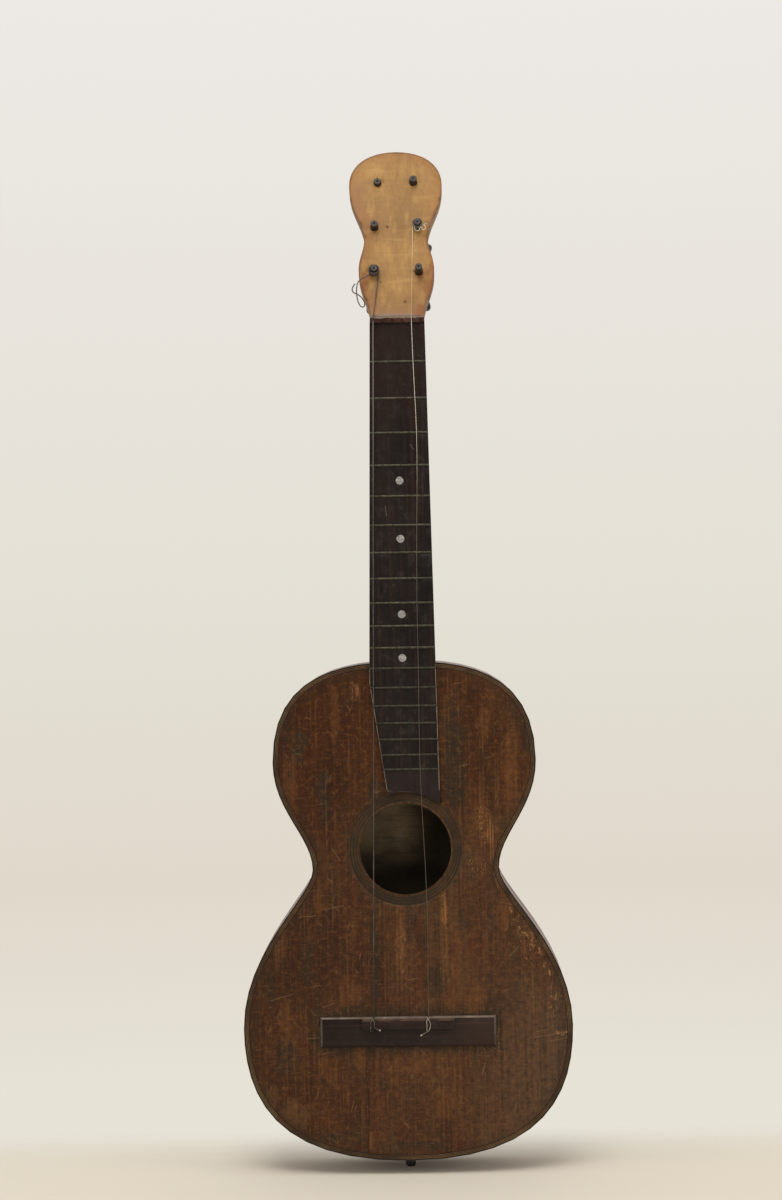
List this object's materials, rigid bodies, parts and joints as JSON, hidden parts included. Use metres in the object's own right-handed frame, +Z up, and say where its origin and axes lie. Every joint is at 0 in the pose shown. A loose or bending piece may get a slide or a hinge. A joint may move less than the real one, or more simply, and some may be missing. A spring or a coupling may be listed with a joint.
{
  "type": "guitar",
  "caption": "Small figure-eight guitar: hollow body, fretted neck, tie bridge, tilted head with turning friction pegs.",
  "frame": {"origin": "where the neck meets the nut, on the centre line, in the plane of the soundboard's face; a hanger grips the neck there, under the head", "axes": "+Z up the neck towards the head, -Y out of the front face, +X towards the treble side"},
  "size_m": [0.27, 0.115, 0.8459],
  "materials": {
    "top_wood": "worn, darkened varnish on straight-grained softwood, stained and scratched",
    "side_wood": "dark varnished hardwood",
    "neck_wood": "handled, half-matt varnished hardwood",
    "head_wood": "honey-coloured maple, worn satin varnish",
    "dark_wood": "worn dark hardwood, oiled",
    "ebonised_wood": "ebonised, polished by handling",
    "inner_wood": "bare aged softwood",
    "inlay": "thin light and dark wood lines, worn",
    "fret_metal": "tarnished brass with rubbed crowns",
    "bone": "yellowed bone",
    "paper": "aged bare paper",
    "wound_string": "tarnished metal winding",
    "gut_string": "pale translucent gut"
  },
  "bodies": {
    "instrument": {"soundboard": "top_wood", "back_plate": "side_wood", "rib_bass": "side_wood", "rib_treble": "side_wood", "neck": "neck_wood", "headstock": "head_wood", "fingerboard": "dark_wood", "bridge": "dark_wood", "nut": "dark_wood", "end_pin": "ebonised_wood", "neck_block": "inner_wood", "end_block": "inner_wood", "top_lining_bass": "inner_wood", "top_lining_treble": "inner_wood", "back_lining_bass": "inner_wood", "back_lining_treble": "inner_wood", "top_brace_1": "inner_wood", "top_brace_2": "inner_wood", "top_brace_3": "inner_wood", "top_brace_4": "inner_wood", "back_brace_1": "inner_wood", "back_brace_2": "inner_wood", "back_brace_3": "inner_wood", "top_purfling": "inlay", "soundhole_ring": "inlay", "fret_01": "fret_metal", "fret_02": "fret_metal", "fret_03": "fret_metal", "fret_04": "fret_metal", "fret_05": "fret_metal", "fret_06": "fret_metal", "fret_07": "fret_metal", "fret_08": "fret_metal", "fret_09": "fret_metal", "fret_10": "fret_metal", "fret_11": "fret_metal", "fret_12": "fret_metal", "fret_13": "fret_metal", "fret_14": "fret_metal", "fret_15": "fret_metal", "fret_16": "fret_metal", "fret_17": "fret_metal", "fret_18": "fret_metal", "tie_block_edging": "bone", "position_dot_5": "bone", "position_dot_7": "bone", "position_dot_10": "bone", "position_dot_12": "bone", "paper_label": "paper", "string_6": "wound_string", "string_6_tail": "wound_string", "string_2": "gut_string"},
    "peg_body_1": {"peg_1": "ebonised_wood"},
    "peg_body_2": {"peg_2": "ebonised_wood", "string_2_winding": "gut_string"},
    "peg_body_3": {"peg_3": "ebonised_wood"},
    "peg_body_4": {"peg_4": "ebonised_wood"},
    "peg_body_5": {"peg_5": "ebonised_wood"},
    "peg_body_6": {"peg_6": "ebonised_wood", "string_6_winding": "wound_string"}
  },
  "joints": [
    {"name": "peg_1_turn", "type": "hinge", "parent": "instrument", "child": "peg_body_1", "pos_m": [0.0184, 0.01215, 0.04311], "axis": [0, 0.9511, -0.309], "continuous": true},
    {"name": "peg_2_turn", "type": "hinge", "parent": "instrument", "child": "peg_body_2", "pos_m": [0.0178, 0.02482, 0.08208], "axis": [0, 0.9511, -0.309], "continuous": true},
    {"name": "peg_3_turn", "type": "hinge", "parent": "instrument", "child": "peg_body_3", "pos_m": [0.0149, 0.03734, 0.12062], "axis": [0, 0.9511, -0.309], "continuous": true},
    {"name": "peg_4_turn", "type": "hinge", "parent": "instrument", "child": "peg_body_4", "pos_m": [-0.0149, 0.03734, 0.12062], "axis": [0, 0.9511, -0.309], "continuous": true},
    {"name": "peg_5_turn", "type": "hinge", "parent": "instrument", "child": "peg_body_5", "pos_m": [-0.0178, 0.02482, 0.08208], "axis": [0, 0.9511, -0.309], "continuous": true},
    {"name": "peg_6_turn", "type": "hinge", "parent": "instrument", "child": "peg_body_6", "pos_m": [-0.0184, 0.01215, 0.04311], "axis": [0, 0.9511, -0.309], "continuous": true}
  ]
}
